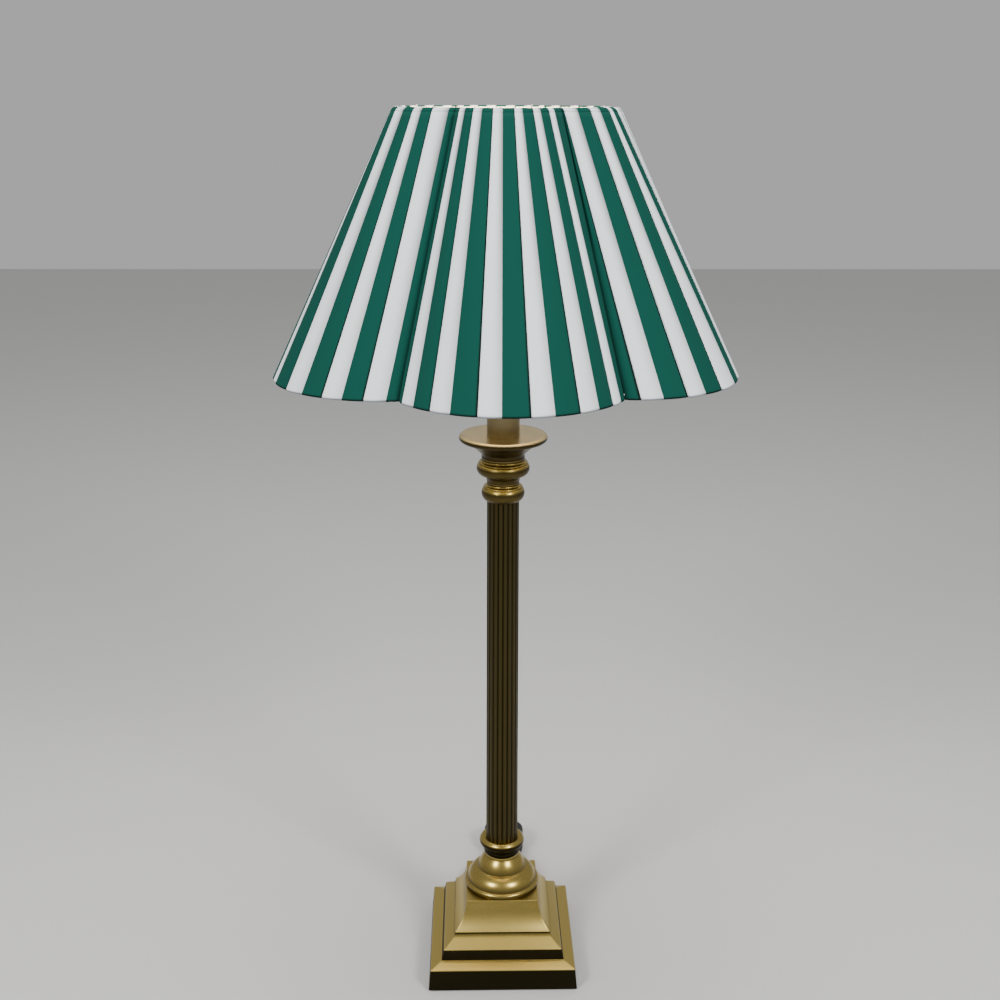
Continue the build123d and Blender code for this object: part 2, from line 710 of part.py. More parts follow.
LEFT_X = HANK_X - FOLD_R
RIGHT_X = HANK_X + FOLD_R
MIDDLE_Y = (HANK_NEAR_Y + HANK_FAR_Y) / 2
STRAIGHT = 2 * CORD_R
radii = {"fold": FOLD_R}
with BuildPart() as cord_run:
    with BuildLine() as run_way:
        Line((GLAND_X, GLAND_TIP_Y, GLAND_Z), (GLAND_X, GLAND_TIP_Y + STRAIGHT, GLAND_Z))
        radii["run"] = bend(
            (GLAND_X, GLAND_TIP_Y + STRAIGHT, GLAND_Z),
            (LEFT_X, HANK_FAR_Y - 2 * STRAIGHT, CORD_R),
        )
        Line((LEFT_X, HANK_FAR_Y - 2 * STRAIGHT, CORD_R), (LEFT_X, HANK_FAR_Y - STRAIGHT, CORD_R))
    with BuildSketch(Plane(origin=run_way.line @ 0, z_dir=run_way.line % 0)):
        Circle(CORD_R)
    sweep(path=run_way.wires()[0])
cord_run.part.label = "cord_run"
export_step(cord_run.part, "parts/cord_run.step")

with BuildPart() as cord_hank:
    with BuildLine() as hank_way:
        Line((LEFT_X, HANK_FAR_Y - STRAIGHT, CORD_R), (LEFT_X, HANK_FAR_Y, CORD_R))
        for layer in range(LAYERS):
            low = CORD_R + layer * LAYER_STEP
            high = low + LAYER_STEP
            half_fold(LEFT_X, HANK_FAR_Y, low, 1)
            if layer < LAYERS - 1:
                radii["waist"] = bend(
                    (RIGHT_X, HANK_FAR_Y, low), (HANK_X + WAIST_X, MIDDLE_Y, low + LAYER_STEP / 2)
                )
                bend((HANK_X + WAIST_X, MIDDLE_Y, low + LAYER_STEP / 2), (RIGHT_X, HANK_NEAR_Y, high))
                half_fold(RIGHT_X, HANK_NEAR_Y, high, -1)
                bend((LEFT_X, HANK_NEAR_Y, high), (HANK_X - WAIST_X, MIDDLE_Y, high))
                bend((HANK_X - WAIST_X, MIDDLE_Y, high), (LEFT_X, HANK_FAR_Y, high))
        radii["tail"] = bend((RIGHT_X, HANK_FAR_Y, low), (HANK_X, PLUG_TIP_Y + STRAIGHT, PLUG_Z))
        Line((HANK_X, PLUG_TIP_Y + STRAIGHT, PLUG_Z), (HANK_X, PLUG_TIP_Y, PLUG_Z))
    with BuildSketch(Plane(origin=hank_way.line @ 0, z_dir=hank_way.line % 0)):
        Circle(CORD_R)
    sweep(path=hank_way.wires()[0])
cord_hank.part.label = "cord_hank"
export_step(cord_hank.part, "parts/cord_hank.step")

TIE_LOW = 2.9
TIE_HIGH = CORD_R + (LAYERS - 1) * LAYER_STEP + CORD_R + 0.3
with BuildPart() as hank_tie:
    tie_centre = (HANK_X, MIDDLE_Y + TIE_WIDE / 2, (TIE_LOW + TIE_HIGH) / 2)
    with BuildSketch(Plane(origin=tie_centre, x_dir=(1, 0, 0), z_dir=(0, -1, 0))):
        RectangleRounded(2 * (WAIST_X + CORD_R + 0.3 + TIE_THICK), TIE_HIGH - TIE_LOW + 2 * TIE_THICK, 3.5)
        RectangleRounded(2 * (WAIST_X + CORD_R + 0.3), TIE_HIGH - TIE_LOW, 2.3, mode=Mode.SUBTRACT)
    extrude(amount=TIE_WIDE)
hank_tie.part.label = "hank_tie"
export_step(hank_tie.part, "parts/hank_tie.step")

with BuildPart() as plug_body:
    with BuildSketch(Plane.XY.offset(PLUG_Z - PLUG_HIGH / 2)):
        with BuildLine():
            half = PLUG_WIDE / 2
            Polyline(
                (HANK_X - half, PLUG_FACE_Y),
                (HANK_X + half, PLUG_FACE_Y),
                (HANK_X + half, PLUG_FACE_Y + 9),
                (HANK_X + 7, PLUG_BACK_Y),
                (HANK_X - 7, PLUG_BACK_Y),
                (HANK_X - half, PLUG_FACE_Y + 9),
                close=True,
            )
        make_face()
    extrude(amount=PLUG_HIGH)
    fillet(plug_body.edges().filter_by(Axis.Z), 3)
    chamfer(plug_body.faces().filter_by(Axis.Z).edges(), 1.2)
    with BuildSketch(Plane(origin=(HANK_X, PLUG_BACK_Y - 2, PLUG_Z), z_dir=(0, 1, 0))):
        Circle(5.0)
    with BuildSketch(Plane(origin=(HANK_X, PLUG_TIP_Y, PLUG_Z), z_dir=(0, 1, 0))):
        Circle(3.8)
    loft(ruled=True)
plug_body.part.label = "plug_body"
export_step(plug_body.part, "parts/plug_body.step")

with BuildPart() as plug_pins:
    for side in (-0.5, 0.5):
        x = HANK_X + side * PLUG_PIN_STEP
        bar(PLUG_PIN_R, (x, PLUG_FACE_Y, PLUG_Z), (x, PLUG_FACE_Y - PLUG_PIN_LENGTH, PLUG_Z))
plug_pins.part.label = "plug_pins"
export_step(plug_pins.part, "parts/plug_pins.step")

# ---------------------------------------------------------------- what the flex measures
section = math.pi * CORD_R**2
for name, way, solid in (
    ("inner", inner_way, inner_flex),
    ("run", run_way, cord_run),
    ("hank", hank_way, cord_hank),
):
    length = sum(edge.length for edge in way.edges())
    print(name, "length", round(length, 1), "volume share", round(solid.part.volume / section / length, 4))
print("radii", {name: round(value, 1) for name, value in radii.items()})
points = []
lengths = []
covered = 0.0
for edge in hank_way.edges():
    steps = max(2, int(edge.length / 1.5))
    for i in range(steps):
        points.append(edge @ (i / steps))
        lengths.append(covered + edge.length * i / steps)
    covered += edge.length
gaps = [
    (points[i] - points[j]).length - 2 * CORD_R
    for i in range(len(points))
    for j in range(i + 1, len(points))
    if lengths[j] - lengths[i] > 30
]
print("hank least gap", round(min(gaps), 2))
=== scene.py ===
# %% [markdown]
# # A candlestick lamp
# The solids of the lamp come from CAD and stay where they are. This script dresses them: the turned brass gets
# smooth profiles and a worn patina with painted sheen and shade, the shade gets its stripes and pleats, and the flex
# becomes one soft line.

# %% Load the imported solids
import math

import bmesh
import bpy
import numpy as np
from mathutils import Matrix, Vector


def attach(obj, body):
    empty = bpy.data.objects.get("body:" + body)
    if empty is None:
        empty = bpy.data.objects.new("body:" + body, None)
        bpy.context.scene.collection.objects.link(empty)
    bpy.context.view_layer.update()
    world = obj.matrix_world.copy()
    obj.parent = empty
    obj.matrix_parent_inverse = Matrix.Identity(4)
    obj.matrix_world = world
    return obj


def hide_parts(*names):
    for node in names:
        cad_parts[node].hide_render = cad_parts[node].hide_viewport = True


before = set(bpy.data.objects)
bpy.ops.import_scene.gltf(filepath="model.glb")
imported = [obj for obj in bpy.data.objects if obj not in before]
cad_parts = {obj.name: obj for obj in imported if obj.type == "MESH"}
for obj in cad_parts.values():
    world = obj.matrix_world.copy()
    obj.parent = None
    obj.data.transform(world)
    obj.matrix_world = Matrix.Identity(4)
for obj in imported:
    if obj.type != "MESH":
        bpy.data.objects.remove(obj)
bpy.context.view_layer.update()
MM = 0.001

# %% [markdown]
# ## The camera
# The photograph looks down on the lamp by about 17 degrees from a little over a metre, so the far side of the base
# rises in the picture, and the base is drawn to a smaller scale than the shade. Place, tilt and lens were found by
# laying the lamp's known widths over the photograph; a camera only pointed "at the lamp" gives other slopes.

# %% Camera at the photograph's viewing angle
CAMERA_PLACE = Vector((-25.1, -1073.4, 790.67)) * MM
CAMERA_DOWN = 17.49
CAMERA_TURN = -1.2
CAMERA_ROLL = 0.17
CAMERA_LENS = 46.79
FILM_WIDTH = 36
camera = bpy.data.objects.new("camera", bpy.data.cameras.new("camera"))
bpy.context.scene.collection.objects.link(camera)
camera.data.lens = CAMERA_LENS
camera.data.sensor_width = FILM_WIDTH
camera.matrix_world = (
    Matrix.Translation(CAMERA_PLACE)
    @ Matrix.Rotation(math.radians(CAMERA_TURN), 4, "Z")
    @ Matrix.Rotation(math.radians(90 - CAMERA_DOWN), 4, "X")
    @ Matrix.Rotation(math.radians(CAMERA_ROLL), 4, "Z")
)
bpy.context.scene.camera = camera
print("camera looks down", CAMERA_DOWN, "degrees")

# %% [markdown]
# ## Writing shader maths as Python
# A material or a Geometry Nodes tree is a graph of small nodes. Wiring each one by hand hides the idea, so one small
# class stands for a number that flows through a tree: an operator on it adds the Math node that does that sum. Any
# other node comes from one helper that takes the node's type, its settings and what goes into its sockets.


# %% A number that flows through a node tree
class Flow:
    """A socket of a node tree that can be used in Python sums."""

    def __init__(self, tree, socket):
        self.tree = tree
        self.socket = socket

    def sum(self, operation, first, second=None):
        given = {i: v for i, v in enumerate((first, second)) if v is not None}
        return add_node(self.tree, "ShaderNodeMath", {"operation": operation}, given)

    def __add__(self, other):
        return self.sum("ADD", self, other)

    def __sub__(self, other):
        return self.sum("SUBTRACT", self, other)

    def __rsub__(self, other):
        return self.sum("SUBTRACT", other, self)

    def __mul__(self, other):
        return self.sum("MULTIPLY", self, other)

    def __pow__(self, other):
        return self.sum("POWER", self, other)

    def __mod__(self, other):
        return self.sum("FLOORED_MODULO", self, other)

    def __gt__(self, other):
        return self.sum("GREATER_THAN", self, other)

    __radd__ = __add__

    def between(self, low, high):
        """0 below low, 1 above high and an even slope between."""
        return add_node(self.tree, "ShaderNodeMapRange", {"clamp": True}, {0: self, 1: low, 2: high})


def add_node(tree, kind, settings=None, inputs=None, output=0):
    """Add a node: settings are its properties, inputs go to sockets by name or number."""
    node = tree.nodes.new(kind)
    for name, value in (settings or {}).items():
        setattr(node, name, value)
    for key, value in (inputs or {}).items():
        socket = node.inputs[key]
        if isinstance(value, Flow):
            tree.links.new(value.socket, socket)
        else:
            socket.default_value = value
    return Flow(tree, node.outputs[output])


print("node helpers ready")

# %% [markdown]
# ## Colours and a first material helper
# Every finish here is one Principled shader. Constants are set on the socket itself, and only what changes over the
# surface is linked, because that is what can be baked when the lamp leaves Blender.


# %% Material helpers
PLAIN_GREY = (0.5, 0.5, 0.5)


def new_paint(name, color=PLAIN_GREY, roughness=0.5, metallic=0.0):
    """A Principled material with constants; returns the material, its tree and its shader."""
    paint = bpy.data.materials.new(name)
    paint.use_nodes = True
    shader = paint.node_tree.nodes["Principled BSDF"]
    shader.inputs["Base Color"].default_value = (*color, 1)
    shader.inputs["Roughness"].default_value = roughness
    shader.inputs["Metallic"].default_value = metallic
    return paint, paint.node_tree, shader


def feed(tree, shader, name, flow):
    """Link a flow to a socket of the shader."""
    tree.links.new(flow.socket, shader.inputs[name])


FACTOR_OUTPUT, OBJECT_OUTPUT, GENERATED_OUTPUT = 2, 3, 0
Y_OUTPUT, Z_OUTPUT = 1, 2


def object_place(tree):
    """Coordinates that stay with the piece."""
    return add_node(tree, "ShaderNodeTexCoord", output=OBJECT_OUTPUT)


def noise(tree, place, scale, detail):
    """Soft random patches of about 1/scale metres."""
    return add_node(tree, "ShaderNodeTexNoise", None, {"Vector": place, "Scale": scale, "Detail": detail})


MIX_FACTOR, MIX_FIRST, MIX_SECOND, MIX_COLOR = 0, 6, 7, 2


def blend_color(tree, factor, first, second):
    """A colour between two, each a tuple of three or a flow."""
    given = {MIX_FACTOR: factor, MIX_FIRST: first, MIX_SECOND: second}
    given = {k: (*v, 1) if isinstance(v, tuple) else v for k, v in given.items()}
    return add_node(tree, "ShaderNodeMix", {"data_type": "RGBA"}, given, output=MIX_COLOR)


def bump(tree, shader, height, distance, strength):
    """Raise the surface by a height flow."""
    given = {"Height": height, "Distance": distance, "Strength": strength}
    feed(tree, shader, "Normal", add_node(tree, "ShaderNodeBump", None, given))


print("material helpers ready")

# %% [markdown]
# ## Aged brass
# The metal is brass with a brown patina. Handling and polishing wear it bright on what stands out, and the brown
# stays in the grooves. The turned and moulded pieces carry a number at each vertex, 0 for the brown and 1 for
# bright metal, which mixes the two colours. It holds real wear and painted light together: a face that looks up
# is painted bright as a painted sheen, and the faces that don't are left darker as painted shade. Fine noise, as
# strong as the finish's speckle, breaks up the sheen, and a coarser one makes patches.


# %% Brass with patina
PATCH_SCALE, PATCH_DETAIL, PATCH_STRENGTH = 28.0, 4.0, 0.2
FINE_DETAIL = 2.0
WEAR_AND_SHEEN_GAIN = 1.15
BROWN_BELOW, BRIGHT_ABOVE = 0.08, 1.05
BROWN_IS_ROUGHER = 0.10
GRAIN_DEPTH = 0.00002


def brass(name, bright, brown, roughness, grain, speckle=0.06):
    """Brass between rubbed metal with painted sheen and patina with painted shade; grain size in metres."""
    paint, tree, shader = new_paint(name, metallic=1.0)
    place = object_place(tree)
    wear_and_sheen = add_node(tree, "ShaderNodeAttribute", {"attribute_name": "wear_and_sheen"}, output=FACTOR_OUTPUT)
    cloud = noise(tree, place, PATCH_SCALE, PATCH_DETAIL)
    fine = noise(tree, place, 1 / grain, FINE_DETAIL)
    # The vertex number brings real rubbing together with painted sheen on faces that look up and painted shade
    # elsewhere.
    rubbed_and_sheen = wear_and_sheen * WEAR_AND_SHEEN_GAIN + (cloud - 0.5) * PATCH_STRENGTH + (fine - 0.5) * speckle
    rubbed_and_sheen = rubbed_and_sheen.between(BROWN_BELOW, BRIGHT_ABOVE)
    rough = (fine - 0.5) * speckle * 0.4 + (roughness + BROWN_IS_ROUGHER) - rubbed_and_sheen * BROWN_IS_ROUGHER
    feed(tree, shader, "Base Color", blend_color(tree, rubbed_and_sheen, brown, bright))
    feed(tree, shader, "Roughness", rough)
    bump(tree, shader, fine, GRAIN_DEPTH, speckle * 0.5)
    return paint


base_brass = brass("base_brass", (0.56, 0.42, 0.12), (0.020, 0.016, 0.007), 0.34, 0.0013, 0.28)
stem_brass = brass("stem_brass", (0.42, 0.31, 0.085), (0.022, 0.016, 0.007), 0.27, 0.0013)
# The column and the neck beads are drawn in much darker brass, as painted shade for the dark that they mirror.
shaded_column_brass = brass("shaded_column_brass", (0.060, 0.047, 0.018), (0.010, 0.008, 0.003), 0.36, 0.0013)
pan_brass = brass("pan_brass", (0.66, 0.54, 0.29), (0.05, 0.036, 0.013), 0.26, 0.0013)
holder_brass = brass("holder_brass", (0.70, 0.54, 0.25), (0.48, 0.36, 0.16), 0.25, 0.001)
print("brass finishes made")

# %% [markdown]
# ## Profiles
# A turned piece is half an outline run round the axis, and a moulding is the same outline run round a square. Both
# are made by one helper: it draws the outline with true arcs, then places a copy of it at each step of a ring. The
# number that mixes patina and bright metal comes from the outline itself: a point that stands further out than its
# neighbours is rubbed, a face that looks up gets a painted sheen, and the rest is left darker as painted shade.
# Upright faces get a share of painted sheen of their own, which each piece names. The radii and heights of the
# turned pieces follow widths measured in the photograph and turned into millimetres through the fitted camera.


# %% Outline and ring helpers
LOOKS_UP_FROM, LOOKS_UP_FULLY = 0.2, 0.6
NEAR_BY = 1.6
EDGE_WEAR = 0.35


def trace(start, legs, step):
    """Points in millimetres along legs: one point is a straight leg, two are an arc through the first."""
    points = [np.array(start, float)]
    for leg in legs:
        a = points[-1]
        b = np.array(leg[-1], float)
        if len(leg) == 1:
            count = max(1, int(np.linalg.norm(b - a) / (step * 4)))
            points += [a + (b - a) * (i + 1) / count for i in range(count)]
            continue
        m = np.array(leg[0], float)
        twice = 2 * (a[0] * (m[1] - b[1]) + m[0] * (b[1] - a[1]) + b[0] * (a[1] - m[1]))
        sq = [p @ p for p in (a, m, b)]
        centre = np.array(
            [
                sq[0] * (m[1] - b[1]) + sq[1] * (b[1] - a[1]) + sq[2] * (a[1] - m[1]),
                sq[0] * (b[0] - m[0]) + sq[1] * (a[0] - b[0]) + sq[2] * (m[0] - a[0]),
            ]
        ) / twice
        radius = np.linalg.norm(a - centre)
        turn = [math.atan2(*(p - centre)[::-1]) for p in (a, m, b)]
        swing = (turn[2] - turn[0]) % math.tau
        if (turn[1] - turn[0]) % math.tau > swing:
            swing -= math.tau
        count = max(3, int(abs(swing) * radius / step))
        for i in range(count):
            angle = turn[0] + swing * (i + 1) / count
            points.append(centre + radius * np.array([math.cos(angle), math.sin(angle)]))
    return np.array(points)


def wear_and_sheen_of(points, upright):
    """Real rubbing plus painted sheen at each outline point, 0 to 1; upright is the least there is."""
    ahead, behind = np.roll(points, -1, 0), np.roll(points, 1, 0)
    along = ahead - behind
    length = np.maximum(np.linalg.norm(along, axis=1), 1e-9)
    out = np.stack([along[:, 1], -along[:, 0]], 1) / length[:, None]
    if np.sum(points[:, 0] * ahead[:, 1] - ahead[:, 0] * points[:, 1]) < 0:
        out = -out
    wear_and_sheen = []
    for p, n in zip(points, out):
        near = points[np.linalg.norm(points - p, axis=1) < NEAR_BY]
        edge = float((p - near.mean(0)) @ n)
        # A face that looks up gets a painted sheen; a point that stands out is rubbed.
        up = min(max((n[1] - LOOKS_UP_FROM) / (LOOKS_UP_FULLY - LOOKS_UP_FROM), 0), 1)
        wear_and_sheen.append(up * up * (3 - 2 * up) + EDGE_WEAR * edge)
    return np.clip(upright + (1 - upright) * np.array(wear_and_sheen), 0, 1)


def circle_ring(steps):
    """Directions of a round ring."""
    angles = np.arange(steps) / steps * math.tau
    return np.stack([np.cos(angles), np.sin(angles)], 1), np.zeros((steps, 2))


def square_ring(corner, steps=4):
    """Directions of a square ring with rounded corners: a point is direction * half + correction."""
    directions = []
    corrections = []
    for quarter, middle in enumerate([(1, 1), (-1, 1), (-1, -1), (1, -1)]):
        middle = np.array(middle, float)
        for i in range(steps + 1):
            angle = (quarter + i / steps) * math.pi / 2
            directions.append(middle)
            corrections.append(corner * (np.array([math.cos(angle), math.sin(angle)]) - middle))
    return np.array(directions), np.array(corrections)


def smooth(mesh, sharp):
    """Shade a mesh smooth, except over edges sharper than an angle in degrees."""
    for polygon in mesh.polygons:
        polygon.use_smooth = True
    mesh.set_sharp_from_angle(angle=math.radians(sharp))


def put_in_scene(name, data):
    """An object for a mesh, a curve or a lamp, at the origin."""
    made = bpy.data.objects.new(name, data)
    bpy.context.scene.collection.objects.link(made)
    return made


def set_number(mesh, name, values):
    """Store one number at each vertex."""
    numbers = np.asarray(values, np.float32)
    mesh.attributes.new(name, "FLOAT", "POINT").data.foreach_set("value", numbers)


def stands_for(made, body, nodes):
    """Say on which body a piece rides and which CAD nodes it replaces."""
    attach(made, body)
    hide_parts(*nodes)


def piece_from(name, vertices, faces, paint, sharp=35, numbers=None, places=None):
    """Make a mesh object from millimetre vertices, with named numbers and a UV place at each vertex."""
    mesh = bpy.data.meshes.new(name)
    mesh.from_pydata((np.asarray(vertices, float) * MM).tolist(), [], faces)
    for key, values in (numbers or {}).items():
        set_number(mesh, key, values)
    if places is not None:
        uv = mesh.uv_layers.new(name="UVMap")
        corner = np.zeros(len(mesh.loops), np.int32)
        mesh.loops.foreach_get("vertex_index", corner)
        uv.data.foreach_set("uv", np.asarray(places, np.float32)[corner].ravel())
    mesh.materials.append(paint)
    smooth(mesh, sharp)
    return put_in_scene(name, mesh)


def point_outwards(made):
    """Turn all faces of a closed mesh outwards."""
    work = bmesh.new()
    work.from_mesh(made.data)
    bmesh.ops.recalc_face_normals(work, faces=work.faces)
    work.to_mesh(made.data)
    work.free()


def grid_faces(rows, columns, bands):
    """Faces of a grid that closes on itself sideways, and also upwards where bands is as many as its rows."""
    return [
        (
            r * columns + c,
            r * columns + (c + 1) % columns,
            (r + 1) % rows * columns + (c + 1) % columns,
            (r + 1) % rows * columns + c,
        )
        for r in range(bands)
        for c in range(columns)
    ]


def run_round(name, outline, ring, paint, body, node, upright=0.0):
    """Run an outline round a ring, and let the piece stand for a CAD node."""
    directions, corrections = ring
    outline = outline[:-1]
    rows, columns = len(outline), len(directions)
    plan = outline[:, 0, None, None] * directions[None] + corrections[None]
    heights = np.repeat(outline[:, 1], columns).reshape(rows, columns, 1)
    vertices = np.concatenate([plan, heights], 2).reshape(-1, 3)
    wear_and_sheen = np.repeat(wear_and_sheen_of(outline, upright), columns)
    made = piece_from(name, vertices, grid_faces(rows, columns, rows), paint, numbers={"wear_and_sheen": wear_and_sheen})
    point_outwards(made)
    stands_for(made, body, [node])
    return made


print("outline helpers ready")

# %% [markdown]
# ## The square base
# The base is one casting: two steps, a small fillet and a hollow curve that sweeps up to the plinth. Its treads
# slope a little, which catches the light. The corners are mitred and only just rounded. The sizes of its steps were
# solved together with the camera.

# %% Square base
BASE_OUTLINE = trace(
    (65.0, 1.5),
    [
        ((68.3, 1.5),),
        ((66.6, 20.2),),
        ((66.3, 21.05), (65.6, 21.5)),
        ((56.7, 24.4),),
        ((56.4, 24.5), (56.35, 24.8)),
        ((54.4, 33.9),),
        ((54.15, 34.42), (53.7, 34.86)),
        ((44.8, 41.7),),
        ((44.2, 45.5),),
        ((44.15, 46.0), (43.7, 46.5)),
        ((36.0, 58.3), (33.3, 71.9)),
        ((33.2, 72.3), (32.8, 72.4)),
        ((5.3, 72.4),),
        ((5.3, 68.4),),
        ((30.3, 68.4),),
        ((33.2, 56.9), (42.0, 43.7)),
        ((42.0, 38.8),),
        ((51.3, 31.6),),
        ((53.3, 21.5),),
        ((63.3, 18.2),),
        ((65.0, 1.5),),
    ],
    0.6,
)
BASE_CORNER = 0.9
# The hollow curve keeps at least half of the bright colour all over, as painted sheen.
CURVE_FROM, CURVE_LEAST_SHEEN = 46, 0.5
hollow_curve_least_sheen = np.where(BASE_OUTLINE[:-1, 1] > CURVE_FROM, CURVE_LEAST_SHEEN, 0.0)
base = run_round(
    "base_casting",
    BASE_OUTLINE,
    square_ring(BASE_CORNER),
    base_brass,
    "stand",
    "square_base",
    hollow_curve_least_sheen,
)
print("base polygons", len(base.data.polygons))

# %% [markdown]
# ## The turned stem
# From the plinth up: a domed foot with one fine groove, a double bead, a collar, the reeded column, two turned rings,
# the drip pan and the plain candle tube; the bead and the column are drawn in dark brass as painted shade. Each is
# its own turned piece, as they are on the rod that holds them.

# %% Turned pieces
ROUND = circle_ring(128)
HOLE = 5.3
# The least painted sheen that each piece keeps, also on faces that don't look up.
DOME_LEAST_SHEEN, RING_LEAST_SHEEN, TUBE_LEAST_SHEEN = 0.25, 0.2, 0.22


def turned(name, start, legs, paint, node, upright=0.0, step=0.4):
    """A turned piece that stands for one CAD node."""
    run_round(name, trace(start, [*legs, (start,)], step), ROUND, paint, "stand", node, upright)


turned(
    "foot_dome",
    (HOLE, 105.0),
    [
        ((15.4, 105.0),),
        ((15.6, 102.6),),
        ((19.6, 97.4), (22.3, 90.9)),
        ((22.0, 90.6),),
        ((22.5, 90.2),),
        ((29.4, 85.4), (32.4, 78.7)),
        ((32.5, 78.3),),
        ((34.9, 75.6), (33.0, 72.8)),
        ((33.0, 72.4),),
        ((HOLE, 72.4),),
    ],
    stem_brass,
    "round_foot",
    upright=DOME_LEAST_SHEEN,
)
turned(
    "neck_beads",
    (HOLE, 113.0),
    [
        ((16.3, 113.0),),
        ((17.0, 111.0), (16.2, 109.2)),
        ((16.7, 107.2), (15.4, 105.0)),
        ((HOLE, 105.0),),
    ],
    shaded_column_brass,
    "neck_spacer",
)
turned(
    "collar",
    (HOLE, 122.0),
    [
        ((16.6, 122.0),),
        ((18.0, 121.9), (19.2, 121.0)),
        ((20.9, 117.3), (16.6, 113.0)),
        ((HOLE, 113.0),),
    ],
    stem_brass,
    "lower_collar",
)
turned(
    "capital_ring_low",
    (HOLE, 469.2),
    [
        ((14.1, 469.2),),
        ((14.2, 467.4), (15.2, 466.5)),
        ((16.4, 465.9), (16.9, 465.1)),
        ((16.5, 464.8),),
        ((17.0, 464.4),),
        ((18.6, 458.9), (15.0, 453.0)),
        ((HOLE, 453.0),),
    ],
    stem_brass,
    "capital_lower_ring",
    upright=RING_LEAST_SHEEN,
)
turned(
    "capital_ring_high",
    (HOLE, 491.2),
    [
        ((18.7, 491.2),),
        ((18.8, 489.2), (19.6, 488.1)),
        ((20.8, 487.4), (21.3, 486.6)),
        ((20.8, 486.3),),
        ((21.3, 485.9),),
        ((22.8, 480.9), (18.6, 475.8)),
        ((14.9, 472.8), (14.1, 469.2)),
        ((HOLE, 469.2),),
    ],
    stem_brass,
    "capital_upper_ring",
    upright=RING_LEAST_SHEEN,
)
turned(
    "drip_pan_turned",
    (HOLE, 511.3),
    [
        ((36.4, 511.3),),
        ((37.9, 509.2), (36.6, 506.4)),
        ((29.5, 503.4), (21.0, 497.0)),
        ((18.9, 494.5), (18.7, 491.2)),
        ((HOLE, 491.2),),
    ],
    pan_brass,
    "drip_pan",
)
turned(
    "candle_tube_turned",
    (13.0, 590.0),
    [((14.0, 590.0),), ((14.0, 511.3),), ((13.0, 511.3),)],
    pan_brass,
    "candle_tube",
    upright=TUBE_LEAST_SHEEN,
    step=2.0,
)
print("turned pieces made")

# %% [markdown]
# ## The reeded column
# Twenty round reeds run up the column side by side. That is a rule, so Geometry Nodes make it: a circle is pressed
# in between the reeds by the sine of its angle, and carried up a line that narrows a little towards the top.


# %% Reeded column with Geometry Nodes
COLUMN_LOW, COLUMN_HIGH = 0.122, 0.453
COLUMN_LOW_R, COLUMN_HIGH_R = 0.01485, 0.014
REEDS = 20.0
REED_DEPTH = 0.052
REED_ROUNDNESS = 0.8
RING_POINTS, RINGS_UP = 320, 12
COLUMN_SHARP = 60


def reeded_tree(paint):
    """A group that makes a tapered column with round reeds."""
    tree = bpy.data.node_groups.new("reeded_column", "GeometryNodeTree")
    tree.interface.new_socket("Geometry", in_out="OUTPUT", socket_type="NodeSocketGeometry")
    sizes = {
        "Reeds": REEDS,
        "Depth": REED_DEPTH,
        "Low": COLUMN_LOW,
        "High": COLUMN_HIGH,
        "Low radius": COLUMN_LOW_R,
        "High radius": COLUMN_HIGH_R,
    }
    for name, value in sizes.items():
        tree.interface.new_socket(name, in_out="INPUT", socket_type="NodeSocketFloat").default_value = value
    given = tree.nodes.new("NodeGroupInput")
    size = {name: Flow(tree, given.outputs[name]) for name in sizes}
    ring = add_node(tree, "GeometryNodeCurvePrimitiveCircle", None, {"Resolution": RING_POINTS, "Radius": 1.0})
    place = add_node(tree, "GeometryNodeInputPosition")
    split = add_node(tree, "ShaderNodeSeparateXYZ", None, {0: place}).socket.node
    x, y = Flow(tree, split.outputs[0]), Flow(tree, split.outputs[1])
    angle = x.sum("ARCTAN2", y, x)
    wave = x.sum("SINE", angle * size["Reeds"] * 0.5)
    swell = x.sum("ABSOLUTE", wave) ** REED_ROUNDNESS
    scale = 1 - size["Depth"] * (1 - swell)
    moved = add_node(tree, "ShaderNodeVectorMath", {"operation": "SCALE"}, {0: place, "Scale": scale})
    pressed = add_node(tree, "GeometryNodeSetPosition", None, {"Geometry": ring, "Position": moved})
    low = add_node(tree, "ShaderNodeCombineXYZ", None, {"Z": size["Low"]})
    high = add_node(tree, "ShaderNodeCombineXYZ", None, {"Z": size["High"]})
    line = add_node(tree, "GeometryNodeCurvePrimitiveLine", None, {"Start": low, "End": high})
    line = add_node(tree, "GeometryNodeResampleCurve", None, {"Curve": line, "Count": RINGS_UP})
    share = add_node(tree, "GeometryNodeSplineParameter")
    radius = size["Low radius"] + (size["High radius"] - size["Low radius"]) * share
    line = add_node(tree, "GeometryNodeSetCurveRadius", None, {"Curve": line, "Radius": radius})
    given = {"Curve": line, "Profile Curve": pressed, "Fill Caps": True}
    solid = add_node(tree, "GeometryNodeCurveToMesh", None, given)
    if "Scale" in solid.socket.node.inputs:
        tree.links.new(radius.socket, solid.socket.node.inputs["Scale"])
    whole = add_node(tree, "GeometryNodeRealizeInstances", None, {"Geometry": solid})
    painted = add_node(tree, "GeometryNodeSetMaterial", None, {"Geometry": whole, "Material": paint})
    out = tree.nodes.new("NodeGroupOutput")
    tree.links.new(painted.socket, out.inputs[0])
    return tree


def grown(name, tree, sharp):
    """Evaluate a Geometry Nodes group to a plain mesh object."""
    seed = put_in_scene(name + "_seed", bpy.data.meshes.new(name + "_seed"))
    seed.modifiers.new("grow", "NODES").node_group = tree
    view = bpy.context.evaluated_depsgraph_get()
    mesh = bpy.data.meshes.new_from_object(seed.evaluated_get(view))
    bpy.data.objects.remove(seed)
    mesh.name = name
    smooth(mesh, sharp)
    return put_in_scene(name, mesh)


